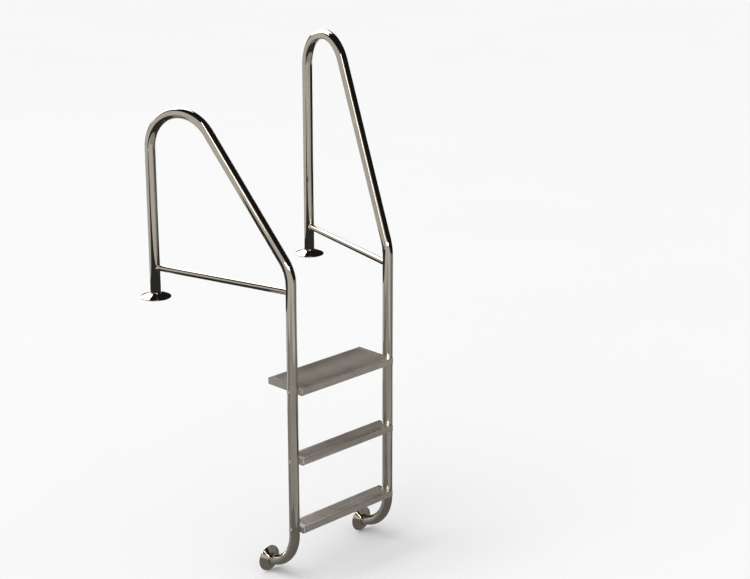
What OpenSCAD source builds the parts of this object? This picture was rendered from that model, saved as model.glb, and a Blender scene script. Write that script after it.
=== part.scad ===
// Swimming pool ladder with flared handrails of two heights and three treads.
// The origin lies on the deck, midway between the two deck legs. +X points to the
// higher handrail, +Y away from the water and +Z up. The pool wall is the plane
// y = wall_y, and the treads hang in front of it.

/* [Handrails] */
// Outside diameter of the rail tube
tube_d = 43; // [40:0.5:45]
// Wall thickness of the rail tube
tube_wall = 2; // [1.5:0.1:3]
// Centreline radius of every bend in the rail tube
bend_r = 160; // [150:1:165]
// Top of the left handrail above the deck
left_height = 807; // [780:1:900]
// Top of the right handrail above the deck
right_height = 1021; // [900:1:1100]
// Distance between the two stringers, centre to centre
stringer_gap = 540; // [520:1:600]
// Distance between the two deck legs, centre to centre
leg_gap = 864; // [780:1:900]
// Distance from the stringers back to the deck legs
deck_reach = 645; // [600:1:700]
// Height at which the stringers start to bend towards the handrails
knee_z = 158; // [150:1:175]

/* [Braces] */
// Outside diameter of the brace tube
brace_d = 25; // [20:0.5:30]
// Wall thickness of the brace tube
brace_wall = 1.5; // [1:0.1:2.5]
// Height of the brace above the deck
brace_z = 127; // [115:1:135]

/* [Treads] */
// Depth of the first tread below the deck
first_tread = 270; // [240:1:300]
// Distance from one tread to the next
tread_pitch = 300; // [260:1:300]
// Reach of every tread in front of the stringer centreline
tread_front = 43; // [38:1:50]
// Reach of the two lower treads behind the stringer centreline
tread_back = 39; // [36:1:60]
// Reach of the top tread behind the stringer centreline, up to the wall
top_tread_back = 157; // [120:1:158]
// Height of the folded edges of a tread
tread_skirt = 28; // [24:1:34]
// Thickness of the tread sheet
sheet = 2; // [1.5:0.1:2.5]
// Thickness of the end plates that clasp the stringers
end_plate = 2.5; // [2:0.1:3]
// Overlap of a tread end past the inner side of its stringer
end_overlap = 10; // [8:0.5:12]

/* [Wall feet] */
// Distance from the stringer centreline to the pool wall
wall_reach = 160; // [160:1:165]
// Depth of the wall feet below the deck, at the tube's centre
wall_foot = 1071; // [1060:1:1150]

/* [Flanges] */
// Diameter of the deck flanges
deck_flange_d = 96; // [94:1:98]
// Distance between neighbouring anchor holes of a deck flange
deck_anchor_pitch = 52; // [50:1:53]
// Diameter of the wall flanges
wall_flange_d = 84; // [82:1:84]
// Distance between neighbouring anchor holes of a wall flange
wall_anchor_pitch = 46; // [45:0.5:47]
// Thickness of the flanges
flange_t = 5; // [4:0.5:5]
// Thickness of the gaskets under the flanges
gasket_t = 1.5; // [1:0.5:1.5]
// Diameter of an anchor hole
anchor_d = 9; // [8.5:0.5:9]

/* [Covers] */
// Diameter of the deck covers
deck_cover_d = 126; // [122:1:130]
// Height of the deck covers
deck_cover_h = 22; // [22:0.5:24]
// Diameter of the wall covers
wall_cover_d = 110; // [108:1:114]
// Height of the wall covers
wall_cover_h = 21; // [21:0.5:23]
// Thickness of the cover metal
cover_t = 1.2; // [1:0.1:1.5]

/* [Hidden] */
$fn = 96;
clearance = 0.05;

tube_r = tube_d / 2;
stringer_x = stringer_gap / 2;
leg_x = leg_gap / 2;
stringer_y = -deck_reach;
wall_y = stringer_y + wall_reach;
splay = atan((leg_x - stringer_x) / deck_reach);
leg_s = norm([leg_x - stringer_x, deck_reach]);

socket = 1;
drawn = 0.2;
foot_bend_z = bend_r - wall_foot;
foot_bend_y = wall_y + bend_r - wall_reach;

lip_h = 3;
collar_h = 3;
collar_t = 1.5;
seal_t = 1.5;
weld = 3;

bolt_drop = 13;
bolt_r = 4;
bolt_hole_r = 4.5;
head_r = 7;
head_h = 4.4;
socket_r = 2.9;
socket_depth = 2.6;
saddle_r = 8;
saddle_h = 2;
washer_r = 8;
washer_t = 1.6;
nut_r = 7.5;
nut_h = 6.5;
bolt_tail = 1.5;

end_x = stringer_x - tube_r + end_overlap;
clasp_r = tube_r + end_plate;
skirt_gap = 3;
return_lip = 10;

bonding_at = 33;
bonding_r = 2.5;
bonding_head_r = 4.2;
bonding_head_h = 2.6;

tread_z = [for (i = [0:2]) -first_tread - i * tread_pitch];

LEFT = -1;
RIGHT = 1;
STEEL = "gainsboro";
SATIN = "darkgray";
RUBBER = "dimgray";

// Places and shared shapes

module tube_ring(outer_r, wall) {
    difference() {
        circle(outer_r);
        circle(outer_r - wall);
    }
}

// Straight length of rail tube. It runs a little way over the bend at each end, and a bend
// is drawn slightly thinner than the straight tube, so the two never share a surface.
module straight(length) {
    translate([0, 0, -socket]) linear_extrude(length + 2 * socket) tube_ring(tube_r, tube_wall);
}

// Upright plane of one handrail: local X runs from the stringer to the deck leg
module in_rail_plane(side) {
    translate([side * stringer_x, stringer_y, 0]) rotate([0, 0, 90 - side * splay]) children();
}

// Part of a bend, in the local XZ plane, from angle a0 to a1 round its centre
module bend(centre_x, centre_z, a0, a1) {
    translate([centre_x, 0, centre_z]) rotate([90, 0, 0]) rotate([0, 0, a0])
        rotate_extrude(angle = a1 - a0) translate([bend_r, 0])
            tube_ring(tube_r - drawn, tube_wall - 2 * drawn);
}

module at_leg(side) {
    translate([side * leg_x, 0, 0]) children();
}

// Wall foot: local Z points out of the wall, along the tube's end
module at_wall(side) {
    translate([side * stringer_x, wall_y, -wall_foot]) rotate([90, 0, 0]) children();
}

// Every bolt, with local Z pointing outwards from the stringer's centre
module at_bolts(side) {
    for (z = tread_z)
        translate([side * stringer_x, stringer_y, z - bolt_drop]) rotate([0, side * 90, 0]) children();
}

module at_all_bolts() {
    at_bolts(LEFT) children();
    at_bolts(RIGHT) children();
}

// Handrails

module rail(side, height) {
    top_z = height - tube_r - bend_r;
    slope = atan((leg_s - 2 * bend_r) / (top_z - knee_z));
    bar = norm([leg_s - 2 * bend_r, top_z - knee_z]);
    color(STEEL) difference() {
        union() {
            in_rail_plane(side) {
                translate([leg_s, 0, gasket_t + socket]) straight(top_z - gasket_t - socket);
                bend(leg_s - bend_r, top_z, 0, 180 - slope);
                translate([bend_r * (1 - cos(slope)), 0, knee_z + bend_r * sin(slope)])
                    rotate([0, slope, 0]) straight(bar);
                bend(bend_r, knee_z, 180 - slope, 180);
            }
            translate([side * stringer_x, stringer_y, foot_bend_z]) straight(knee_z - foot_bend_z);
            translate([side * stringer_x, stringer_y, 0]) rotate([0, 0, 90])
                bend(bend_r, foot_bend_z, 180, 270);
        }
        at_bolts(side) translate([0, 0, -tube_d]) cylinder(r = bolt_hole_r, h = 2 * tube_d);
        at_wall(side) translate([0, 0, gasket_t + flange_t - tube_d])
            cylinder(r = tube_d, h = tube_d);
    }
}

module brace(side) {
    color(STEEL) in_rail_plane(side) difference() {
        translate([0, 0, brace_z]) rotate([0, 90, 0])
            linear_extrude(leg_s) tube_ring(brace_d / 2, brace_wall);
        for (s = [0, leg_s])
            translate([s, 0, brace_z - brace_d]) cylinder(r = tube_r, h = 2 * brace_d);
    }
}

// Anchor flanges and gaskets

module anchor_holes(pitch) {
    for (x = [-1, 1], y = [-1, 1])
        translate([x * pitch / 2, y * pitch / 2, -1]) cylinder(d = anchor_d, h = 20);
}

module deck_flange(side) {
    color(SATIN) at_leg(side) difference() {
        translate([0, 0, gasket_t]) rotate_extrude() polygon([
            [tube_r + clearance, 0], [deck_flange_d / 2, 0], [deck_flange_d / 2, flange_t],
            [tube_r + weld, flange_t], [tube_r + clearance, flange_t + weld]]);
        anchor_holes(deck_anchor_pitch);
        translate([0, bonding_at, 0]) cylinder(r = bonding_r + clearance, h = 20);
    }
}

module wall_flange(side) {
    color(SATIN) at_wall(side) difference() {
        translate([0, 0, gasket_t]) cylinder(d = wall_flange_d, h = flange_t);
        anchor_holes(wall_anchor_pitch);
        translate([0, 0, -1]) cylinder(r = tube_r - tube_wall, h = 20);
    }
}

module gasket(diameter, pitch) {
    color(RUBBER) difference() {
        cylinder(d = diameter, h = gasket_t);
        anchor_holes(pitch);
        translate([0, 0, -1]) cylinder(r = tube_r - tube_wall, h = gasket_t + 2);
    }
}

module deck_gasket(side) {
    at_leg(side) gasket(deck_flange_d, deck_anchor_pitch);
}

module wall_gasket(side) {
    at_wall(side) gasket(wall_flange_d, wall_anchor_pitch);
}

// Covers

// Section of a deck cover: rolled lip, straight cone and collar
module deck_cover(side) {
    r = deck_cover_d / 2;
    neck = tube_r + seal_t;
    cone_z = deck_cover_h - collar_h;
    color(STEEL) at_leg(side) rotate_extrude() polygon([
        [r - cover_t, 0], [r, 0], [r, lip_h - 1], [r - 1, lip_h],
        [neck + collar_t, cone_z], [neck + collar_t, deck_cover_h],
        [neck, deck_cover_h], [neck, cone_z - cover_t], [r - cover_t - 1.5, lip_h - cover_t]]);
}

module deck_cover_seal(side) {
    color(RUBBER) at_leg(side) translate([0, 0, deck_cover_h - collar_h])
        rotate_extrude() translate([tube_r + clearance, 0]) square([seal_t - clearance, collar_h - 0.5]);
}

// Where the collar of a wall cover sits on the foot bend
module at_wall_collar(side) {
    tilt = asin((wall_cover_h - collar_h) / bend_r);
    at_wall(side) translate([0, bend_r, 0]) rotate([-tilt, 0, 0]) translate([0, -bend_r, 0]) children();
}

module wall_cover(side) {
    r = wall_cover_d / 2;
    neck = tube_r + seal_t;
    cone_z = wall_cover_h - collar_h;
    color(STEEL) difference() {
        union() {
            at_wall(side) rotate_extrude() polygon([
                [r - cover_t, 0], [r, 0], [r, lip_h - 1], [r - 1, lip_h],
                [neck + collar_t, cone_z], [neck - 2, cone_z],
                [neck - 2, cone_z - cover_t], [neck, cone_z - cover_t],
                [r - cover_t - 1.5, lip_h - cover_t]]);
            at_wall_collar(side) translate([0, 0, -1]) cylinder(r = neck + collar_t, h = collar_h + 1);
        }
        at_wall_collar(side) translate([0, 0, -10]) cylinder(r = neck, h = 20);
    }
}

module wall_cover_seal(side) {
    color(RUBBER) at_wall_collar(side) rotate_extrude()
        translate([tube_r + clearance, 0.5]) square([seal_t - clearance, collar_h - 1]);
}

// Treads

// Folded channel: top sheet, two skirts and their return lips
module tread(z, back) {
    color(SATIN) difference() {
        translate([0, stringer_y, z]) union() {
            translate([-end_x + end_plate, -tread_front, -sheet])
                cube([2 * (end_x - end_plate), tread_front + back, sheet]);
            translate([end_plate + skirt_gap - end_x, 0, 0]) rotate([90, 0, 90])
                linear_extrude(2 * (end_x - end_plate - skirt_gap)) {
                    skirt(-tread_front, 1);
                    skirt(back, -1);
                }
        }
        for (x = [-stringer_x, stringer_x])
            translate([x, stringer_y, z - 2 * tread_skirt]) cylinder(r = clasp_r, h = 3 * tread_skirt);
    }
}

module skirt(edge, inwards) {
    polygon([
        [edge, -sheet / 2], [edge, -tread_skirt],
        [edge + inwards * return_lip, -tread_skirt], [edge + inwards * return_lip, sheet - tread_skirt],
        [edge + inwards * sheet, sheet - tread_skirt], [edge + inwards * sheet, -sheet / 2]]);
}

// End plate: flat wings with a clasp that hugs the inner side of the stringer
module tread_end(side, z, back) {
    color(STEEL) difference() {
        translate([side * stringer_x, stringer_y, z - tread_skirt]) linear_extrude(tread_skirt)
            mirror([side > 0 ? 1 : 0, 0]) difference() {
                union() {
                    translate([stringer_x - end_x, -tread_front])
                        square([end_plate, tread_front + back]);
                    intersection() {
                        circle(clasp_r);
                        translate([stringer_x - end_x, -clasp_r]) square([clasp_r, 2 * clasp_r]);
                    }
                }
                circle(tube_r);
            }
        at_bolts(side) translate([0, 0, -tube_d]) cylinder(r = bolt_hole_r, h = tube_d);
    }
}

module stiffener() {
    half = end_x - end_plate - 30;
    mid = (top_tread_back + tube_r) / 2;
    color(SATIN) translate([-half, stringer_y + mid, tread_z[0] - sheet]) rotate([90, 0, 90])
        linear_extrude(2 * half) polygon([
            [-26, 0], [-26, -sheet], [-14, -sheet], [-14, -20], [14, -20], [14, -sheet], [26, -sheet],
            [26, 0], [12, 0], [12, sheet - 20], [-12, sheet - 20], [-12, 0]]);
}

// Fasteners

module tread_bolts() {
    seat = tube_r + saddle_h;
    inner = clasp_r + washer_t + nut_h + bolt_tail;
    color(STEEL) at_all_bolts() difference() {
        union() {
            translate([0, 0, -inner]) cylinder(r = bolt_r, h = inner + seat + 1);
            translate([0, 0, seat]) intersection() {
                cylinder(r = head_r, h = head_h);
                translate([0, 0, head_h - 9]) sphere(9);
            }
        }
        translate([0, 0, seat + head_h - socket_depth]) cylinder(r = socket_r, h = head_h, $fn = 6);
    }
}

module tread_saddle_washers() {
    color(STEEL) at_all_bolts() difference() {
        cylinder(r = saddle_r, h = tube_r + saddle_h);
        rotate([90, 0, 90]) translate([0, 0, -tube_d]) cylinder(r = tube_r, h = 2 * tube_d);
        cylinder(r = bolt_hole_r, h = 2 * tube_d);
    }
}

module tread_flat_washers() {
    color(STEEL) at_all_bolts() translate([0, 0, -clasp_r - washer_t]) difference() {
        cylinder(r = washer_r, h = washer_t);
        translate([0, 0, -1]) cylinder(r = bolt_hole_r, h = washer_t + 2);
    }
}

module tread_nuts() {
    color(STEEL) at_all_bolts() translate([0, 0, -clasp_r - washer_t - nut_h]) difference() {
        cylinder(r = nut_r, h = nut_h, $fn = 6);
        translate([0, 0, -1]) cylinder(r = bolt_r + clearance, h = nut_h + 2);
    }
}

module bonding_screws() {
    color("goldenrod") for (side = [LEFT, RIGHT])
        at_leg(side) translate([0, bonding_at, gasket_t]) {
            cylinder(r = bonding_r, h = flange_t);
            translate([0, 0, flange_t]) cylinder(r = bonding_head_r, h = bonding_head_h);
        }
}

rail(LEFT, left_height);  // left_rail
rail(RIGHT, right_height);  // right_rail
brace(LEFT);  // left_brace
brace(RIGHT);  // right_brace
deck_flange(LEFT);  // left_deck_flange
deck_flange(RIGHT);  // right_deck_flange
deck_gasket(LEFT);  // left_deck_gasket
deck_gasket(RIGHT);  // right_deck_gasket
deck_cover(LEFT);  // left_deck_cover
deck_cover(RIGHT);  // right_deck_cover
deck_cover_seal(LEFT);  // left_deck_cover_seal
deck_cover_seal(RIGHT);  // right_deck_cover_seal
wall_flange(LEFT);  // left_wall_flange
wall_flange(RIGHT);  // right_wall_flange
wall_gasket(LEFT);  // left_wall_gasket
wall_gasket(RIGHT);  // right_wall_gasket
wall_cover(LEFT);  // left_wall_cover
wall_cover(RIGHT);  // right_wall_cover
wall_cover_seal(LEFT);  // left_wall_cover_seal
wall_cover_seal(RIGHT);  // right_wall_cover_seal
tread(tread_z[0], top_tread_back);  // top_tread
tread(tread_z[1], tread_back);  // middle_tread
tread(tread_z[2], tread_back);  // bottom_tread
tread_end(LEFT, tread_z[0], top_tread_back);  // top_tread_left_end
tread_end(RIGHT, tread_z[0], top_tread_back);  // top_tread_right_end
tread_end(LEFT, tread_z[1], tread_back);  // middle_tread_left_end
tread_end(RIGHT, tread_z[1], tread_back);  // middle_tread_right_end
tread_end(LEFT, tread_z[2], tread_back);  // bottom_tread_left_end
tread_end(RIGHT, tread_z[2], tread_back);  // bottom_tread_right_end
stiffener();  // top_tread_stiffener
tread_bolts();
tread_saddle_washers();
tread_flat_washers();
tread_nuts();
bonding_screws();
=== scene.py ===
"""Looks of the pool ladder: smooth bent tubes, pressed treads, spun covers and their steel."""
import math

import bmesh
import bpy
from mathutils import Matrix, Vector


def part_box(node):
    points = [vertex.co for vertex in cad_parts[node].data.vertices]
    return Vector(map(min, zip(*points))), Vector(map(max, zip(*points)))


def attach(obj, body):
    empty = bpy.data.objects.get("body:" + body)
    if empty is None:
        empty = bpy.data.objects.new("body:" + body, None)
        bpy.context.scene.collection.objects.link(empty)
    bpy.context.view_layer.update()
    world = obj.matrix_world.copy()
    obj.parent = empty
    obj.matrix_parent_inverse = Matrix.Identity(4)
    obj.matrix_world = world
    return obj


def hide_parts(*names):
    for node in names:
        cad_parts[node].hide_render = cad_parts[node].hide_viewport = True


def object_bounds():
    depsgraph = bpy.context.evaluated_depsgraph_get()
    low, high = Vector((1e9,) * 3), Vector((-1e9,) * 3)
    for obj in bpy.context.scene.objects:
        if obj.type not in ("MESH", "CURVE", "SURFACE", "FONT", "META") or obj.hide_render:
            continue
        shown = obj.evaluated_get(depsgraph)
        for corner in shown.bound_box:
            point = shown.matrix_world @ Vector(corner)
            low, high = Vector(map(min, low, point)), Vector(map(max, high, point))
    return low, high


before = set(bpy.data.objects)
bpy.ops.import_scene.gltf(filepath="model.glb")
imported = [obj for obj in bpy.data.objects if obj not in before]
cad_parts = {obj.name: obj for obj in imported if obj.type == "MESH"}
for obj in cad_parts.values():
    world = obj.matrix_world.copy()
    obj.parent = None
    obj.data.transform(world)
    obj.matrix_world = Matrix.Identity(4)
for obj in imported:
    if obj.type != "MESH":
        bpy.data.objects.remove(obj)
cad_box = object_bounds()

# Driving dimensions that the CAD parts' boxes don't give, in metres
TUBE_R = 0.0215
TUBE_WALL = 0.002
BEND_R = 0.160
KNEE_Z = 0.158
BRACE_R = 0.0125
BRACE_WALL = 0.0015
SHEET = 0.002
END_PLATE = 0.0025
SKIRT_GAP = 0.003
RETURN_LIP = 0.010
COVER_T = 0.0012
SEAL_T = 0.0015
COLLAR_T = 0.0015
COLLAR_H = 0.003
LIP_H = 0.003
WALL_COVER_H = 0.021

# Small shapes of the covers, in metres; a wall cover lies flat outside FLAT_SHARE of its radius
LIP_BEND = 0.001
LIP_INSET = 0.0015
NECK_FILLET = 0.002
NECK_DROP = 0.0009
NECK_RISE = 0.0006
COVER_EDGE_R = 0.0005
FLAT_SHARE = 0.8

# Small shapes of the seals: slack beside the tube and the collar, and the sloping wiping edge
SEAL_SLACK = 0.00005
SEAL_INSET = 0.0003
SEAL_TOP = 0.0004
SEAL_SLOPE = 0.0003
SEAL_EDGE_R = 0.0004

# Fineness of the meshes: sides, degrees, metres, and the least distance that tells points apart
TUBE_SIDES = 96
ARC_STEP = 1.5
STRAIGHT_STEP = 0.040
LATHE_SIDES = 144
NOTCH_STEPS = 12
CLASP_STEPS = 20
SAME_PLACE = 1e-5
PLACES_A_METRE = 1e6

# Most of an edge that a rounded corner takes
CORNER_SHARE = 0.45

# Deburred edges of the end plates
BROKEN_EDGE = 0.0005
BROKEN_ANGLE = 40

# Treads: folds, plain rim and pressed buttons, whose profile is radii with their heights
FOLD_R = 0.003
FOLD_FLAT = 0.0005
FOLD_STEPS = 6
RIM = 0.0105
END_RIM = 0.0205
CELL = 0.0088
CELL_SIDES = 12
BUTTON = [(0.0034, 0.0), (0.0030, 0.00055), (0.0024, 0.0008), (0.0019, 0.0007), (0.0016, 0.0004)]
NOTCH_GAP = 0.0001

# Painted sheen of the treads: width of the painted highlight band as a share of the pattern's depth,
# how bright that painted highlight is on each tread at its left and right end, so that painted light and
# shade run along the tread, and how much film lies on its rim
PAINTED_SHEEN_SHARE = 0.36
TREAD_SHEEN_ENDS = {"top": (0.85, 1.0), "middle": (0.0, 0.5), "bottom": (0.0, 0.4)}
RIM_FILM = {"top": 0.0, "middle": 0.5, "bottom": 0.85}

# Weld beads: each scale is a ripple of several rings, and the bead stands a little off the post
BEAD_R = 0.0016
BEAD_RIPPLE = 0.0002
BEAD_SCALES = 30
RINGS_A_SCALE = 6
BEAD_SIDES = 10
BEAD_STAND_OFF = 0.2

# Camera: place in metres, heading and downward tilt in degrees, lens in millimetres
CAMERA_PLACE = (-4.7632, -5.5741, 2.2986)
CAMERA_HEADING = 45.17
CAMERA_TILT = 17.95
CAMERA_LENS = 86.12

# Turning marks of the flanges, in radians of the wave a metre
RING_TURNING = 5000

# What the polished steel sees where nothing is lit
DARK = (0.012, 0.012, 0.013)

# Colour sockets of a mix node, which share their names with the sockets of its other types
MIX_ONE = 6
MIX_TWO = 7
MIX_RESULT = 2

RIGHT = Vector((1, 0, 0))
BACK = Vector((0, 1, 0))
UP = Vector((0, 0, 1))
SIDES = {"left": -1, "right": 1}


# Shared helpers

def middle(node):
    """Centre of a CAD node's box."""
    low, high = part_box(node)
    return (low + high) / 2


def make_piece(name, bm, body, material, sharp=35.0):
    """Turns a bmesh into a shaded piece that rides on a body."""
    bmesh.ops.recalc_face_normals(bm, faces=bm.faces)
    mesh = bpy.data.meshes.new(name)
    bm.to_mesh(mesh)
    bm.free()
    mesh.shade_smooth()
    mesh.set_sharp_from_angle(angle=math.radians(sharp))
    mesh.materials.append(material)
    piece = bpy.data.objects.new(name, mesh)
    bpy.context.scene.collection.objects.link(piece)
    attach(piece, body)
    return piece


def turn(count):
    """Angles of even steps round a full turn."""
    return [2 * math.pi * k / count for k in range(count)]


def add_rings(bm, rings, closed=False):
    """Faces between neighbouring rings of the same number of points."""
    made = [[bm.verts.new(p) for p in ring] for ring in rings]
    pairs = list(zip(made, made[1:]))
    if closed:
        pairs.append((made[-1], made[0]))
    for one, two in pairs:
        for i in range(len(one)):
            j = (i + 1) % len(one)
            bm.faces.new((one[i], one[j], two[j], two[i]))


def rounded(points, radius, steps=4):
    """The same outline with every corner rounded."""
    out = []
    for i, corner in enumerate(points):
        before = Vector(points[i - 1]) - Vector(corner)
        after = Vector(points[(i + 1) % len(points)]) - Vector(corner)
        reach = min(radius, before.length * CORNER_SHARE, after.length * CORNER_SHARE)
        start = Vector(corner) + before.normalized() * reach
        end = Vector(corner) + after.normalized() * reach
        for k in range(steps + 1):
            t = k / steps
            out.append((1 - t) ** 2 * start + 2 * t * (1 - t) * Vector(corner) + t ** 2 * end)
    return out


# Tubes

def straight(start, end):
    """Places along a straight tube, each with the tube's direction."""
    along = (end - start).normalized()
    count = max(1, round((end - start).length / STRAIGHT_STEP))
    return [(start.lerp(end, i / count), along) for i in range(count + 1)]


def arc(centre, out, first, last):
    """Places round a bend in the plane of out and UP, each with the tube's direction."""
    count = math.ceil(abs(last - first) / ARC_STEP)
    places = []
    for i in range(count + 1):
        a = math.radians(first + (last - first) * i / count)
        point = centre + BEND_R * (math.cos(a) * out + math.sin(a) * UP)
        places.append((point, math.cos(a) * UP - math.sin(a) * out))
    return places


def joined(*runs):
    """One line of places from several runs, without the doubled ends."""
    line = list(runs[0])
    for run in runs[1:]:
        line += run[1:]
    return line


def rail_line(side):
    """Centreline of a handrail, from its deck flange over the top and down to the wall."""
    low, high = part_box(side + "_rail")
    leg = middle(side + "_deck_cover")
    foot = middle(side + "_wall_gasket")
    leg_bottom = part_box(side + "_deck_gasket")[1].z
    wall_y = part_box(side + "_wall_gasket")[1].y
    flange_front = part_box(side + "_wall_flange")[0].y
    stringer = Vector((foot.x, low.y + TUBE_R, 0))
    out = Vector((leg.x, leg.y, 0)) - stringer
    leg_s = out.length
    out.normalize()
    top_z = high.z - TUBE_R - BEND_R
    slope = math.degrees(math.atan2(leg_s - 2 * BEND_R, top_z - KNEE_Z))
    leg_foot = stringer + out * leg_s + UP * leg_bottom
    top = arc(stringer + out * (leg_s - BEND_R) + UP * top_z, out, 0, 180 - slope)
    knee = arc(stringer + out * BEND_R + UP * KNEE_Z, out, 180 - slope, 180)
    foot_centre = Vector((foot.x, wall_y, foot.z + BEND_R))
    last = 270 - math.degrees(math.asin((wall_y - flange_front) / BEND_R))
    foot_bend = arc(foot_centre, BACK, 180, last)
    return joined(
        straight(leg_foot, top[0][0]), top,
        straight(top[-1][0], knee[0][0]), knee,
        straight(knee[-1][0], foot_bend[0][0]), foot_bend)


def tube_rings(line, radius):
    """Rings across a line of places, turned no more than the line itself turns."""
    along = line[0][1]
    across = along.orthogonal().normalized()
    rings = []
    for point, direction in line:
        across = along.rotation_difference(direction) @ across
        along = direction
        over = along.cross(across)
        rings.append([
            point + radius * (math.cos(a) * across + math.sin(a) * over)
            for a in turn(TUBE_SIDES)])
    return rings


def make_rail(side, material):
    """Handrail, stringer and foot: one bent tube with its wall."""
    line = rail_line(side)
    flange_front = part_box(side + "_wall_flange")[0].y
    outer = tube_rings(line, TUBE_R)
    inner = tube_rings(line, TUBE_R - TUBE_WALL)
    for ring in (outer[-1], inner[-1]):
        for point in ring:
            point.y = flange_front
    bm = bmesh.new()
    add_rings(bm, outer + inner[::-1], closed=True)
    rail = make_piece(side + "_rail_tube", bm, "ladder", material)
    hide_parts(side + "_rail")


def brace_axis(side):
    """Axis of a brace: a point on the stringer's centreline, the level direction and the length."""
    rail_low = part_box(side + "_rail")[0]
    leg = middle(side + "_deck_cover")
    stringer = Vector((middle(side + "_wall_gasket").x, rail_low.y + TUBE_R, 0))
    out = Vector((leg.x, leg.y, 0)) - stringer
    stringer.z = middle(side + "_brace").z
    return stringer, out.normalized(), out.length


def coped(out, radius, angle, post_r):
    """Offset from the brace's axis at an angle, and how far the post reaches there."""
    sideways = UP.cross(out)
    offset = radius * (math.cos(angle) * sideways + math.sin(angle) * UP)
    return offset, math.sqrt(post_r ** 2 - (radius * math.cos(angle)) ** 2)


def make_brace(side, material):
    """Brace tube whose ends are shaped to the two posts."""
    start, out, length = brace_axis(side)
    bm = bmesh.new()
    bore_r = BRACE_R - BRACE_WALL
    rings = []
    for radius, at_leg in ((BRACE_R, False), (BRACE_R, True), (bore_r, True), (bore_r, False)):
        ring = []
        for a in turn(TUBE_SIDES):
            offset, reach = coped(out, radius, a, TUBE_R - NOTCH_GAP)
            ring.append(start + offset + out * (length - reach if at_leg else reach))
        rings.append(ring)
    add_rings(bm, rings, closed=True)
    brace = make_piece(side + "_brace_tube", bm, "ladder", material)
    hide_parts(side + "_brace")


def make_bead(name, side, at_leg, material):
    """Weld bead where a brace meets a post, with the scales that a welder leaves."""
    start, out, length = brace_axis(side)
    direction = -out if at_leg else out
    origin = start + out * length if at_leg else start
    rings = []
    for a in turn(BEAD_SCALES * RINGS_A_SCALE):
        offset, reach = coped(out, BRACE_R, a, TUBE_R)
        centre = origin + offset + direction * (reach + BEAD_R * BEAD_STAND_OFF)
        outwards = offset.normalized()
        thick = BEAD_R + BEAD_RIPPLE * math.cos(BEAD_SCALES * a)
        rings.append([
            centre + thick * (math.cos(b) * outwards + math.sin(b) * direction)
            for b in turn(BEAD_SIDES)])
    bm = bmesh.new()
    add_rings(bm, rings, closed=True)
    make_piece(name, bm, "ladder", material, sharp=80)


# Covers and seals

def lathe(bm, outline, place):
    """Closed ring whose section is outline; place(r, h, angle) gives each point."""
    rings = [[place(r, h, a) for r, h in outline] for a in turn(LATHE_SIDES)]
    add_rings(bm, rings, closed=True)


def upright(centre):
    """Placing function for a ring that stands level round a vertical tube."""
    return lambda r, h, a: centre + Vector((r * math.cos(a), r * math.sin(a), h))


def cover_outline(radius, height):
    """Section of a cover: rolled lip, cone with a soft neck, and collar."""
    neck = TUBE_R + SEAL_T
    collar = neck + COLLAR_T
    cone = height - COLLAR_H
    points = [
        (radius - COVER_T, 0), (radius, 0),
        (radius, LIP_H - LIP_BEND), (radius - LIP_BEND, LIP_H),
        (collar + NECK_FILLET, cone - NECK_DROP), (collar, cone + NECK_RISE),
        (collar, height), (neck, height),
        (neck, cone - COVER_T), (radius - COVER_T - LIP_INSET, LIP_H - COVER_T)]
    return rounded(points, COVER_EDGE_R)


def make_deck_cover(side, material):
    """Spun cover over a deck flange."""
    body = side + "_deck_cover"
    low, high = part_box(body)
    centre = Vector((*middle(body).xy, low.z))
    bm = bmesh.new()
    lathe(bm, cover_outline((high.x - low.x) / 2, high.z - low.z), upright(centre))
    cover = make_piece(body + "_shell", bm, body, material)
    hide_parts(side + "_deck_cover")


def on_foot_bend(side, square_from, square_to):
    """Placing function for a ring on a foot bend.

    It lies flat on the wall outside the radius square_from, and square to the bend inside square_to.
    """
    foot = middle(side + "_wall_gasket")
    wall_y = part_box(side + "_wall_gasket")[1].y

    def place(r, h, a):
        across, over = math.cos(a), math.sin(a)
        flat = Vector((foot.x + r * across, wall_y - h, foot.z + r * over))
        tilt = math.asin(h / BEND_R)
        down = Vector((0, -math.sin(tilt), -math.cos(tilt)))
        centre = Vector((foot.x, wall_y, foot.z + BEND_R)) + BEND_R * down
        square = centre + r * (across * RIGHT - over * down)
        share = min(1, max(0, (square_from - r) / (square_from - square_to)))
        share = share * share * (3 - 2 * share)
        return flat.lerp(square, share)
    return place


def make_wall_cover(side, material):
    """Spun cover over a wall flange, whose collar leans with the foot bend."""
    body = side + "_wall_cover"
    low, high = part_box(body)
    radius = (high.x - low.x) / 2
    square_r = TUBE_R + SEAL_T + COLLAR_T + NECK_FILLET
    bm = bmesh.new()
    lathe(bm, cover_outline(radius, WALL_COVER_H), on_foot_bend(side, radius * FLAT_SHARE, square_r))
    cover = make_piece(body + "_shell", bm, body, material)
    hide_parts(side + "_wall_cover")


def seal_outline(lift=0):
    """Section of a seal with a rounded wiping edge, lifted off the cover's foot."""
    inner = TUBE_R + SEAL_SLACK
    outer = TUBE_R + SEAL_T - SEAL_SLACK
    bottom = lift + SEAL_INSET
    top = lift + COLLAR_H - SEAL_TOP
    points = [(inner, bottom), (outer, bottom), (outer, top), (inner, top - SEAL_SLOPE)]
    return rounded(points, SEAL_EDGE_R)


def make_deck_seal(side, material):
    """Rubber ring in the collar of a deck cover."""
    centre = Vector((*middle(side + "_deck_cover").xy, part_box(side + "_deck_cover_seal")[0].z))
    bm = bmesh.new()
    lathe(bm, seal_outline(), upright(centre))
    seal = make_piece(side + "_deck_wiper", bm, side + "_deck_cover", material)
    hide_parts(side + "_deck_cover_seal")


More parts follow.
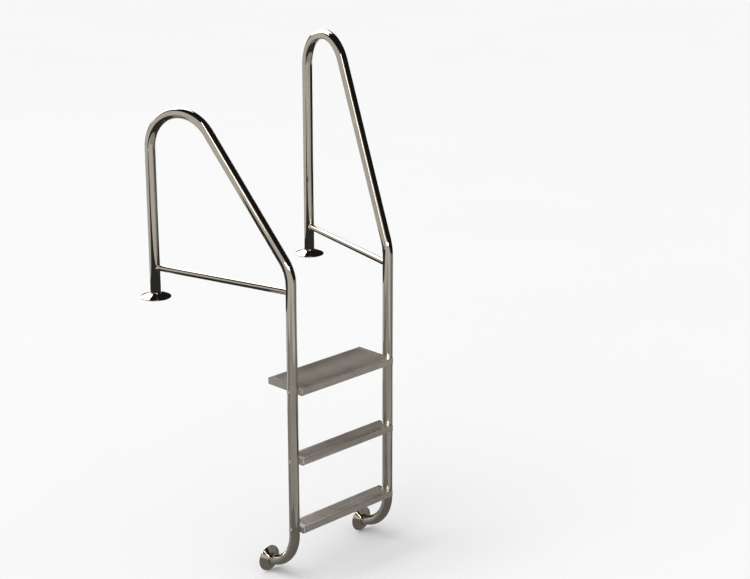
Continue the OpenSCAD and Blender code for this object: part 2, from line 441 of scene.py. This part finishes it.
def make_wall_seal(side, material):
    """Rubber ring in the collar of a wall cover, square to the bend all over."""
    low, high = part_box(side + "_wall_cover")
    beyond = high.x - low.x
    bm = bmesh.new()
    lathe(bm, seal_outline(WALL_COVER_H - COLLAR_H), on_foot_bend(side, 2 * beyond, beyond))
    seal = make_piece(side + "_wall_wiper", bm, side + "_wall_cover", material)
    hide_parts(side + "_wall_cover_seal")


# Treads

class Net:
    """A bmesh whose vertices are found again by their place."""

    def __init__(self):
        self.bm = bmesh.new()
        self.found = {}

    def vert(self, x, y, z):
        """The vertex at a place, made when there is none yet."""
        key = tuple(round(c * PLACES_A_METRE) for c in (x, y, z))
        if key not in self.found:
            self.found[key] = self.bm.verts.new((x, y, z))
        return self.found[key]

    def face(self, *points):
        """A face between places."""
        return self.bm.faces.new([self.vert(*p) for p in points])


def cell_points(x, y, half_x, half_y, radius=None):
    """Points round one cell: on its square edge, or on a circle of the given radius."""
    points = []
    for k in range(CELL_SIDES):
        a = math.radians(45 + k * 360 / CELL_SIDES)
        if radius is None:
            reach = 1 / max(abs(math.cos(a)), abs(math.sin(a)))
            points.append((x + half_x * reach * math.cos(a), y + half_y * reach * math.sin(a)))
        else:
            points.append((x + radius * math.cos(a), y + radius * math.sin(a)))
    return points


def add_cell(net, x, y, half_x, half_y, top):
    """One pressed button with its drain hole, through the sheet."""
    edge = cell_points(x, y, half_x, half_y)
    rings = [[(*p, top) for p in edge]]
    rings += [[(*p, top + h) for p in cell_points(x, y, half_x, half_y, r)] for r, h in BUTTON]
    hole = cell_points(x, y, half_x, half_y, BUTTON[-1][0])
    rings.append([(*p, top - SHEET) for p in hole])
    rings.append([(*p, top - SHEET) for p in edge])
    for one, two in zip(rings, rings[1:]):
        for i in range(CELL_SIDES):
            j = (i + 1) % CELL_SIDES
            net.face(one[i], one[j], two[j], two[i])


def notch(centre, end, radius, side):
    """Points of the round notch at one end of a tread, from front to back on the right."""
    half = math.degrees(math.acos(abs(centre.x - end) / radius))
    points = []
    for k in range(NOTCH_STEPS + 1):
        a = math.radians(180 + half - 2 * half * k / NOTCH_STEPS)
        points.append((side * (abs(centre.x) + radius * math.cos(a)), centre.y + radius * math.sin(a)))
    return points[::side]


def sheet_outline(low, high):
    """Outline of a tread's flat top between its folds, anticlockwise from the front left."""
    front = low.y + FOLD_R + FOLD_FLAT
    back = high.y - FOLD_R - FOLD_FLAT
    skirt = high.x - SKIRT_GAP
    stringer = middle("right_wall_gasket")
    centre = Vector((stringer.x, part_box("right_rail")[0].y + TUBE_R, 0))
    radius = TUBE_R + END_PLATE + NOTCH_GAP
    right = [(high.x, front), *notch(centre, high.x, radius, 1), (high.x, back)]
    left = [(low.x, back), *notch(centre, high.x, radius, -1), (low.x, front)]
    return [(-skirt, front), (skirt, front), *right, (skirt, back), (-skirt, back), *left]


def add_flat_ring(net, outline, level, inner_edges):
    """Fills the flat rim between the outline and the pattern, on one side of the sheet."""
    verts = [net.vert(x, y, level) for x, y in outline]
    edges = [net.bm.edges.new((verts[i - 1], verts[i])) for i in range(len(verts))]
    bmesh.ops.triangle_fill(net.bm, use_beauty=True, edges=edges + inner_edges)


def fold_section(edge, inwards, top, bottom):
    """Outer and inner lines of a folded edge: rounded fold, skirt, rounded return lip."""
    outer, inner = [], []

    def both(reach, level, normal_in, normal_up):
        y = edge + inwards * reach
        outer.append((y, level))
        inner.append((y + inwards * normal_in * SHEET, level + normal_up * SHEET))

    both(FOLD_R + FOLD_FLAT, top, 0, -1)
    for k in range(FOLD_STEPS + 1):
        a = math.radians(90 * k / FOLD_STEPS)
        both(FOLD_R * (1 - math.sin(a)), top - FOLD_R * (1 - math.cos(a)), math.sin(a), -math.cos(a))
    for k in range(FOLD_STEPS + 1):
        a = math.radians(90 * k / FOLD_STEPS)
        both(FOLD_R * (1 - math.cos(a)), bottom + FOLD_R * (1 - math.sin(a)), math.cos(a), math.sin(a))
    both(RETURN_LIP, bottom, 0, 1)
    return outer, inner


def add_fold(net, edge, inwards, top, bottom, half):
    """Folded edge of a tread, joined to its flat top."""
    outer, inner = fold_section(edge, inwards, top, bottom)
    for line in (outer, inner):
        for (y0, z0), (y1, z1) in zip(line, line[1:]):
            net.face((-half, y0, z0), (half, y0, z0), (half, y1, z1), (-half, y1, z1))
    for x in (-half, half):
        for i in range(len(outer) - 1):
            corners = (outer[i], outer[i + 1], inner[i + 1], inner[i])
            net.face(*[(x, y, z) for y, z in corners])
    (y0, z0), (y1, z1) = outer[-1], inner[-1]
    net.face((-half, y0, z0), (half, y0, z0), (half, y1, z1), (-half, y1, z1))


def make_tread(name, material):
    """Folded tread with a smooth rim round its pressed grip pattern."""
    low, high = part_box(name + "_tread")
    below = high.z - SHEET
    net = Net()
    x0, x1 = low.x + END_RIM, high.x - END_RIM
    y0, y1 = low.y + RIM, high.y - RIM
    columns = round((x1 - x0) / CELL)
    rows = round((y1 - y0) / CELL)
    half_x = (x1 - x0) / columns / 2
    half_y = (y1 - y0) / rows / 2
    for i in range(columns):
        x = x0 + (2 * i + 1) * half_x
        for j in range(rows):
            add_cell(net, x, y0 + (2 * j + 1) * half_y, half_x, half_y, high.z)
    outline = sheet_outline(low, high)
    free = [e for e in net.bm.edges if len(e.link_faces) == 1]
    for level in (high.z, below):
        inner_edges = [e for e in free if abs(e.verts[0].co.z - level) < SAME_PLACE]
        add_flat_ring(net, outline, level, inner_edges)
    skirt = high.x - SKIRT_GAP
    for (ax, ay), (bx, by) in zip(outline, outline[1:] + outline[:1]):
        under_fold = ay == by and abs(ax) == skirt and abs(bx) == skirt
        if not under_fold:
            net.face((ax, ay, high.z), (bx, by, high.z), (bx, by, below), (ax, ay, below))
    add_fold(net, low.y, 1, high.z, low.z, skirt)
    add_fold(net, high.y, -1, high.z, low.z, skirt)
    mark_pattern(net.bm, name, high.z, (x0, y0), (x1, y1))
    tread = make_piece(name + "_tread_sheet", net.bm, "ladder", material)
    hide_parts(name + "_tread")


def mark_pattern(bm, name, top, low, high):
    """Marks the buttons' worn tops, the patterned field, the painted highlight band and the film on the
    rim.
    """
    worn = bm.verts.layers.float.new("worn")
    field = bm.verts.layers.float.new("field")
    painted_sheen = bm.verts.layers.float.new("painted_sheen")
    film = bm.verts.layers.float.new("film")
    left, right = TREAD_SHEEN_ENDS[name]
    button_h = max(h for _, h in BUTTON)
    centre = (low[1] + high[1]) / 2
    reach = (high[1] - low[1]) * PAINTED_SHEEN_SHARE
    for v in bm.verts:
        inside = all(low[i] - SAME_PLACE < v.co[i] < high[i] + SAME_PLACE for i in (0, 1))
        v[worn] = min(1, max(0, (v.co.z - top) / button_h))
        v[field] = 1 if inside else 0
        # Painted light and shade along the tread: the painted highlight is weaker at one end and stronger
        # at the other
        along = (v.co.x - low[0]) / (high[0] - low[0])
        strength = left + (right - left) * min(1, max(0, along))
        # Painted highlight: a soft bright band across the middle of the tread's depth
        v[painted_sheen] = strength * math.exp(-((v.co.y - centre) / reach) ** 2)
        v[film] = RIM_FILM[name] if v.co.z > top - FOLD_R / 2 else 0


def end_outline(side, low, high):
    """Outline from above of an end plate: flat wings and the clasp round the inner side of a stringer."""
    stringer = middle(side + "_wall_gasket")
    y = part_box(side + "_rail")[0].y + TUBE_R
    near = abs(stringer.x) - max(abs(low.x), abs(high.x))
    far = near + END_PLATE
    clasp_r = TUBE_R + END_PLATE
    outer = math.acos(far / clasp_r)
    inner = math.acos(near / TUBE_R)
    points = [(near, low.y - y), (far, low.y - y)]
    points += [(clasp_r * math.cos(a), clasp_r * math.sin(a))
               for a in (outer * (2 * k / CLASP_STEPS - 1) for k in range(CLASP_STEPS + 1))]
    points += [(far, high.y - y), (near, high.y - y)]
    points += [(TUBE_R * math.cos(a), TUBE_R * math.sin(a))
               for a in (inner * (1 - 2 * k / CLASP_STEPS) for k in range(CLASP_STEPS + 1))]
    return [(SIDES[side] * (abs(stringer.x) - u), y + v) for u, v in points]


def make_end(tread, side, material):
    """End plate of a tread, with softly broken edges."""
    node = f"{tread}_tread_{side}_end"
    low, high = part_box(node)
    outline = end_outline(side, low, high)
    bm = bmesh.new()
    rings = [[bm.verts.new((x, y, z)) for x, y in outline] for z in (low.z, high.z)]
    for i in range(len(outline)):
        bm.faces.new((rings[0][i - 1], rings[0][i], rings[1][i], rings[1][i - 1]))
    for ring in rings:
        bm.faces.new(ring)
    plate = make_piece(node + "_plate", bm, "ladder", material)
    soften(plate)
    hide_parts(node)


def soften(obj):
    """Breaks the sharp edges, as deburring does."""
    bevel = obj.modifiers.new("deburred", "BEVEL")
    bevel.width = BROKEN_EDGE
    bevel.segments = 2
    bevel.limit_method = "ANGLE"
    bevel.angle_limit = math.radians(BROKEN_ANGLE)
    bevel.harden_normals = True


# Materials

def feed(tree, value, socket):
    """Joins another node's output to a socket, or sets the socket to a plain value."""
    if isinstance(value, bpy.types.NodeSocket):
        tree.links.new(value, socket)
    else:
        socket.default_value = value


def mixed(tree, factor, one, two):
    """Colour between one and two, each an output or three plain numbers."""
    node = tree.nodes.new("ShaderNodeMix")
    node.data_type = "RGBA"
    tree.links.new(factor, node.inputs["Factor"])
    for index, colour in ((MIX_ONE, one), (MIX_TWO, two)):
        plain = not isinstance(colour, bpy.types.NodeSocket)
        feed(tree, (*colour, 1) if plain else colour, node.inputs[index])
    return node.outputs[MIX_RESULT]


class Shader:
    """A material's nodes, with short calls for what the looks share."""

    def __init__(self, name, metallic=0.0):
        self.material = bpy.data.materials.new(name)
        self.material.use_nodes = True
        self.tree = self.material.node_tree
        self.surface = self.tree.nodes["Principled BSDF"]
        self.surface.inputs["Metallic"].default_value = metallic
        self.place = self.add("ShaderNodeTexCoord").outputs["Object"]

    def add(self, kind, **settings):
        """A new node with some of its settings."""
        node = self.tree.nodes.new(kind)
        for key, value in settings.items():
            setattr(node, key, value)
        return node

    def join(self, source, target):
        """Link from an output to an input."""
        self.tree.links.new(source, target)

    def set(self, name, value):
        """Gives the surface one of its settings."""
        feed(self.tree, value, self.surface.inputs[name])

    def stretched(self, stretch):
        """Places on the object, scaled along each axis."""
        node = self.add("ShaderNodeMapping")
        node.inputs["Scale"].default_value = stretch
        self.join(self.place, node.inputs["Vector"])
        return node.outputs["Vector"]

    def noise(self, scale, detail=2.0, stretch=(1, 1, 1)):
        """Noise of so many waves a metre, from 0 to 1."""
        node = self.add("ShaderNodeTexNoise")
        node.inputs["Scale"].default_value = scale
        node.inputs["Detail"].default_value = detail
        self.join(self.stretched(stretch), node.inputs["Vector"])
        return node.outputs["Fac"]

    def spots(self, scale):
        """Distance to the nearest of scattered points, in cells."""
        node = self.add("ShaderNodeTexVoronoi")
        node.inputs["Scale"].default_value = scale
        self.join(self.place, node.inputs["Vector"])
        return node.outputs["Distance"]

    def mark(self, name):
        """A value that the mesh carries on its vertices."""
        return self.add("ShaderNodeAttribute", attribute_name=name).outputs["Fac"]

    def span(self, source, start, end, low, high):
        """Maps start..end to low..high, clamped."""
        node = self.add("ShaderNodeMapRange")
        for key, value in (("From Min", start), ("From Max", end), ("To Min", low), ("To Max", high)):
            node.inputs[key].default_value = value
        self.join(source, node.inputs["Value"])
        return node.outputs["Result"]

    def math(self, operation, one, two=0):
        """Result of a sum, product or other operation on values."""
        node = self.add("ShaderNodeMath", operation=operation)
        for socket, value in zip(node.inputs, (one, two)):
            feed(self.tree, value, socket)
        return node.outputs["Value"]

    def vector(self, operation, one, two=(0, 0, 0)):
        """Node of an operation on a vector and a plain vector."""
        node = self.add("ShaderNodeVectorMath", operation=operation)
        self.join(one, node.inputs[0])
        node.inputs[1].default_value = two
        return node

    def mix(self, factor, one, two):
        """Colour between one and two."""
        return mixed(self.tree, factor, one, two)

    def bump(self, height, distance, under=None):
        """Bump of a height from 0 to 1 that stands for so many metres, on top of another."""
        node = self.add("ShaderNodeBump")
        node.inputs["Strength"].default_value = 1
        node.inputs["Distance"].default_value = distance
        self.join(height, node.inputs["Height"])
        if under is not None:
            self.join(under, node.inputs["Normal"])
        return node.outputs["Normal"]


def polished_steel():
    """Mirror-polished tube: warm grey, faint polishing haze, a few dried water marks."""
    s = Shader("polished_steel", metallic=1.0)
    bright, hazy, limescale = (0.70, 0.635, 0.54), (0.655, 0.59, 0.495), (0.55, 0.53, 0.50)
    haze = s.noise(9, 5)
    drops = s.span(s.spots(70), 0.10, 0.17, 1, 0)
    splashed = s.span(s.noise(6), 0.52, 0.60, 0, 1)
    marks = s.math("MULTIPLY", drops, splashed)
    clean = s.mix(s.span(haze, 0.35, 0.65, 0, 1), bright, hazy)
    s.set("Base Color", s.mix(s.math("MULTIPLY", marks, 0.25), clean, limescale))
    polish = s.span(haze, 0.3, 0.7, 0.03, 0.075)
    s.set("Roughness", s.math("ADD", polish, s.math("MULTIPLY", marks, 0.10)))
    waves = s.bump(s.noise(45, 1), 0.00004)
    s.set("Normal", s.bump(s.noise(900, 3), 0.000004, under=waves))
    return s.material


def plate_steel():
    """Polished sheet of the end plates: soft grain and a little haze."""
    s = Shader("plate_steel", metallic=0.8)
    bright, hazy = (0.62, 0.57, 0.51), (0.55, 0.50, 0.445)
    haze = s.noise(22, 5)
    s.set("Base Color", s.mix(s.span(haze, 0.35, 0.65, 0, 1), bright, hazy))
    s.set("Roughness", s.span(haze, 0.3, 0.7, 0.12, 0.22))
    specks = s.bump(s.noise(900, 2), 0.000005)
    s.set("Normal", s.bump(s.noise(60, 4, (1, 30, 30)), 0.000012, under=specks))
    return s.material


def tread_steel():
    """Satin sheet brushed along its length: filmed between the buttons, with a painted highlight band
    where the film is thinner and the worn button tops are brighter.
    """
    s = Shader("tread_steel", metallic=0.72)
    bright, hazy, brushing = (0.65, 0.58, 0.51), (0.54, 0.48, 0.42), (0.46, 0.41, 0.36)
    grimy, polished = (0.17, 0.148, 0.128), (0.72, 0.64, 0.56)
    brushed = s.noise(16, 6, (1, 45, 45))
    patches = s.noise(11, 4)
    worn, field, painted_sheen, film = [s.mark(name) for name in ("worn", "field", "painted_sheen", "film")]
    sheet = s.mix(s.span(patches, 0.35, 0.65, 0, 1), bright, hazy)
    streaked = s.mix(s.span(brushed, 0.3, 0.7, 0, 0.5), sheet, brushing)
    # Painted highlight: the grime is thinner inside the painted sheen band
    grime_outside_sheen = s.span(painted_sheen, 0, 1, 1, 0.3)
    grime_thinned_by_sheen = s.math("MULTIPLY", s.span(s.noise(7, 3), 0.35, 0.65, 0.6, 0.95), grime_outside_sheen)
    covered = s.math("MAXIMUM", s.span(field, 0.93, 1, 0, 1), film)
    dulled = s.mix(s.math("MULTIPLY", covered, grime_thinned_by_sheen), streaked, grimy)
    # Worn button tops, polished more inside the painted highlight band
    rubbed_tops_and_sheen = s.math("MULTIPLY", s.span(worn, 0.5, 1, 0, 1), s.span(painted_sheen, 0, 1, 0.3, 0.9))
    s.set("Base Color", s.mix(rubbed_tops_and_sheen, dulled, polished))
    satin = s.span(patches, 0.3, 0.7, 0.22, 0.29)
    s.set("Roughness", s.math("ADD", satin, s.span(field, 0.5, 1, 0, 0.08)))
    specks = s.bump(s.noise(700, 3), 0.00001)
    s.set("Normal", s.bump(brushed, 0.00002, under=specks))
    return s.material


def turned_steel(name, centre, axis):
    """Machined plate with the fine rings that a lathe leaves round its centre."""
    s = Shader(name, metallic=1.0)
    bare, stained = (0.50, 0.48, 0.45), (0.40, 0.375, 0.34)
    in_plane = [1 - abs(c) for c in axis]
    offset = s.vector("SUBTRACT", s.place, centre).outputs["Vector"]
    flat = s.vector("MULTIPLY", offset, in_plane).outputs["Vector"]
    radius = s.vector("LENGTH", flat).outputs["Value"]
    rings = s.math("SINE", s.math("MULTIPLY", radius, RING_TURNING))
    stain = s.noise(40, 5)
    s.set("Base Color", s.mix(s.span(stain, 0.35, 0.7, 0, 1), bare, stained))
    s.set("Roughness", s.span(stain, 0.3, 0.7, 0.26, 0.42))
    specks = s.bump(s.noise(600, 3), 0.00001)
    s.set("Normal", s.bump(s.span(rings, -1, 1, 0, 1), 0.00002, under=specks))
    return s.material


def fastener_steel():
    """Bright fasteners with fine scratches and faint stains."""
    s = Shader("fastener_steel", metallic=0.85)
    bright, stained = (0.80, 0.76, 0.70), (0.66, 0.62, 0.57)
    scratches = s.noise(350, 4, (1, 1, 6))
    stain = s.noise(120, 3)
    s.set("Base Color", s.mix(s.span(stain, 0.3, 0.7, 0, 1), bright, stained))
    s.set("Roughness", s.span(scratches, 0.3, 0.7, 0.14, 0.30))
    s.set("Normal", s.bump(scratches, 0.00001))
    return s.material


def black_rubber():
    """Dark rubber, finely grained, with a little pale dust."""
    s = Shader("black_rubber")
    clean, dusty = (0.022, 0.022, 0.023), (0.0484, 0.0484, 0.0506)
    dust = s.noise(90, 5)
    s.set("Base Color", s.mix(s.span(dust, 0.45, 0.75, 0, 1), clean, dusty))
    s.set("Roughness", s.span(dust, 0.3, 0.7, 0.54, 0.70))
    s.set("Normal", s.bump(s.noise(1200, 3), 0.00002))
    return s.material


def aged_brass():
    """Brass screw with a little tarnish."""
    s = Shader("aged_brass", metallic=1.0)
    bright, brown = (0.74, 0.53, 0.24), (0.42, 0.28, 0.12)
    tarnish = s.noise(260, 4)
    s.set("Base Color", s.mix(s.span(tarnish, 0.4, 0.7, 0, 1), bright, brown))
    s.set("Roughness", s.span(tarnish, 0.3, 0.7, 0.22, 0.45))
    s.set("Normal", s.bump(s.noise(1500, 2), 0.00001))
    return s.material


def pale_floor():
    """Plain pale floor with the faintest unevenness."""
    s = Shader("pale_floor")
    s.set("Base Color", s.mix(s.noise(0.8, 3), (0.80, 0.80, 0.80), (0.78, 0.78, 0.785)))
    s.set("Roughness", 0.9)
    s.set("Specular IOR Level", 0.1)
    return s.material


def dress(nodes, material):
    """Gives CAD nodes a material, in their object's own slots."""
    for name in nodes:
        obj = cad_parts[name]
        if not obj.material_slots:
            obj.data.materials.append(None)
        for slot in obj.material_slots:
            slot.link = "OBJECT"
            slot.material = material


def dress_cad_nodes(rubber):
    """Materials of the CAD nodes that stay as they are."""
    for side in SIDES:
        for place, axis in (("deck", (0, 0, 1)), ("wall", (0, 1, 0))):
            flange = f"{side}_{place}_flange"
            centre = middle(f"{side}_{place}_gasket")
            dress([flange], turned_steel(flange + "_steel", centre, axis))
            dress([f"{side}_{place}_gasket"], rubber)
    dress(["tread_bolts", "tread_saddle_washers", "tread_flat_washers", "tread_nuts"], fastener_steel())
    dress(["bonding_screws"], aged_brass())


# Studio

def flat_piece(name, corners, material):
    """One flat face, for the floor and the cards."""
    bm = bmesh.new()
    bm.faces.new([bm.verts.new(c) for c in corners])
    mesh = bpy.data.meshes.new(name)
    bm.to_mesh(mesh)
    bm.free()
    mesh.materials.append(material)
    piece = bpy.data.objects.new(name, mesh)
    bpy.context.scene.collection.objects.link(piece)
    return piece


def make_floor():
    """Pale floor under the lowest point of the ladder, unseen in the polished steel."""
    half = 30
    level = cad_box[0][2]
    corners = [(-half, -half, level), (half, -half, level), (half, half, level), (-half, half, level)]
    floor = flat_piece("floor", corners, pale_floor())
    floor.visible_glossy = False


def softbox(name, target, direction, distance, size, radiance):
    """Rectangular soft light that faces the target, and that only shiny surfaces see."""
    light = bpy.data.lights.new(name, "AREA")
    light.shape = "RECTANGLE"
    light.size, light.size_y = size
    light.energy = radiance * math.pi * size[0] * size[1]
    lamp = bpy.data.objects.new(name, light)
    away = Vector(direction).normalized()
    lamp.location = target + away * distance
    lamp.rotation_euler = away.to_track_quat("Z", "Y").to_euler()
    lamp.visible_diffuse = False
    bpy.context.scene.collection.objects.link(lamp)


class Surroundings:
    """World nodes: what the polished steel sees, mixed from soft regions of direction."""

    def __init__(self, colour):
        self.world = bpy.data.worlds.new("studio")
        bpy.context.scene.world = self.world
        self.world.use_nodes = True
        self.tree = self.world.node_tree
        self.tree.nodes.clear()
        self.direction = self.tree.nodes.new("ShaderNodeTexCoord").outputs["Generated"]
        self.colour = colour

    def region(self, towards, start, full, colour):
        """Mixes in a colour where the direction's part along towards runs from start to full."""
        dot = self.tree.nodes.new("ShaderNodeVectorMath")
        dot.operation = "DOT_PRODUCT"
        dot.inputs[1].default_value = Vector(towards).normalized()
        self.tree.links.new(self.direction, dot.inputs[0])
        edge = self.tree.nodes.new("ShaderNodeMapRange")
        edge.interpolation_type = "SMOOTHSTEP"
        edge.inputs["From Min"].default_value = start
        edge.inputs["From Max"].default_value = full
        self.tree.links.new(dot.outputs["Value"], edge.inputs["Value"])
        self.colour = mixed(self.tree, edge.outputs["Result"], self.colour, colour)

    def finish(self, backdrop, daylight):
        """Adds the plain backdrop that the camera sees and the even light on dull surfaces."""
        path = self.tree.nodes.new("ShaderNodeLightPath")
        for ray, colour in (("Is Camera Ray", backdrop), ("Is Diffuse Ray", daylight)):
            self.colour = mixed(self.tree, path.outputs[ray], self.colour, colour)
        light = self.tree.nodes.new("ShaderNodeBackground")
        self.tree.links.new(self.colour, light.inputs["Color"])
        out = self.tree.nodes.new("ShaderNodeOutputWorld")
        self.tree.links.new(light.outputs["Background"], out.inputs["Surface"])


def make_surroundings():
    """Grey all round, dark above and to the right, pale low on the right, near black straight below."""
    grey, pale, deep = (0.56, 0.56, 0.565), (0.85, 0.85, 0.85), (0.05, 0.05, 0.052)
    backdrop, daylight = (0.965, 0.965, 0.965), (0.80, 0.80, 0.80)
    around = Surroundings(grey)
    around.region((0.69, 0.07, 0.72), 0.0, 0.05, DARK)
    around.region((0.90, 0.30, -0.31), 0.79, 0.84, pale)
    around.region((0.50, 0.0, 0.85), 0.25, 0.31, DARK)
    around.region((-0.1, -0.1, -1), 0.72, 0.80, deep)
    around.finish(backdrop, daylight)


def make_card(name, corners, colour):
    """Softly uneven card that only shiny surfaces see, to shape their reflections."""
    s = Shader(name)
    s.set("Base Color", (0, 0, 0, 1))
    s.set("Specular IOR Level", 0)
    s.set("Emission Color", (*colour, 1))
    s.set("Emission Strength", s.span(s.noise(0.9, 3), 0.3, 0.7, 0.84, 1.16))
    card = flat_piece(name, corners, s.material)
    card.visible_camera = False
    card.visible_diffuse = False
    card.visible_shadow = False


def make_level_card(name, left, right, front, back, level, colour):
    """Card that lies level, with its shiny side up."""
    corners = [(left, front, level), (right, front, level), (right, back, level), (left, back, level)]
    make_card(name, corners, colour)


def make_cards():
    """Dark card at the deck's level, and grey ones for a pool's floor, its side and what lies behind."""
    wall_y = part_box("left_wall_gasket")[1].y
    left, right, front = -3.0, 1.15, -4.0
    deck_z, deck_back = -0.002, 0.25
    pool_z, far_back = -1.4, 2.0
    low_z, side_top = cad_box[0][2], -0.05
    make_level_card("deck_flag", left, right + 2, wall_y, deck_back, deck_z, (0.035, 0.035, 0.038))
    make_level_card("back_flag", left - 1, right + 1.4, wall_y, far_back, pool_z, (0.25, 0.255, 0.26))
    make_level_card("pool_flag", left - 1, right, front, wall_y, pool_z, (0.33, 0.335, 0.34))
    side_ends = [(wall_y, low_z), (front, low_z), (front, side_top), (wall_y, side_top)]
    make_card("side_flag", [(right, y, z) for y, z in side_ends], (0.22, 0.225, 0.23))
    make_level_card("low_flag", -1.0, right, -1.2, wall_y, low_z, (0.16, 0.162, 0.165))


def make_lights():
    """Large soft box behind, two narrow ones on the camera's side, and an even light from above."""
    centre = (Vector(cad_box[0]) + Vector(cad_box[1])) / 2
    softbox("back_box", centre, (0.234, 0.81, 0.54), distance=9.0, size=(8.4, 8.0), radiance=3.0)
    softbox("front_strip", centre, (-0.45, -0.83, 0.36), distance=5.0, size=(3.0, 0.6), radiance=14.0)
    softbox("slope_strip", centre, (-0.64, -0.415, 0.645), distance=5.0, size=(0.35, 3.0), radiance=6.0)
    sun = bpy.data.lights.new("soft_sun", "SUN")
    sun.energy = 1.5
    sun.angle = math.radians(50)
    lamp = bpy.data.objects.new("soft_sun", sun)
    lamp.rotation_euler = Vector((-0.5, 0.1, 0.85)).to_track_quat("Z", "Y").to_euler()
    lamp.visible_glossy = False
    bpy.context.scene.collection.objects.link(lamp)


def make_camera():
    """Camera on the pool's side, level across, tilted a little down."""
    camera = bpy.data.cameras.new("camera")
    camera.sensor_width = 36
    camera.lens = CAMERA_LENS
    holder = bpy.data.objects.new("camera", camera)
    holder.location = CAMERA_PLACE
    holder.rotation_euler = (math.radians(90 - CAMERA_TILT), 0, math.radians(-CAMERA_HEADING))
    bpy.context.scene.collection.objects.link(holder)
    bpy.context.scene.camera = holder
    bpy.context.scene.view_settings.view_transform = "Standard"


def make_ladder():
    """Every piece that replaces a CAD node, and the materials of the rest."""
    polished = polished_steel()
    plate = plate_steel()
    tread = tread_steel()
    rubber = black_rubber()
    for side in SIDES:
        make_rail(side, polished)
        make_brace(side, polished)
        make_bead(side + "_stringer_bead", side, False, polished)
        make_bead(side + "_leg_bead", side, True, polished)
        make_deck_cover(side, polished)
        make_wall_cover(side, polished)
        make_deck_seal(side, rubber)
        make_wall_seal(side, rubber)
    for name in TREAD_SHEEN_ENDS:
        make_tread(name, tread)
        for side in SIDES:
            make_end(name, side, plate)
    dress(["top_tread_stiffener"], tread)
    dress_cad_nodes(rubber)


make_camera()
make_ladder()
make_floor()
make_cards()
make_lights()
make_surroundings()
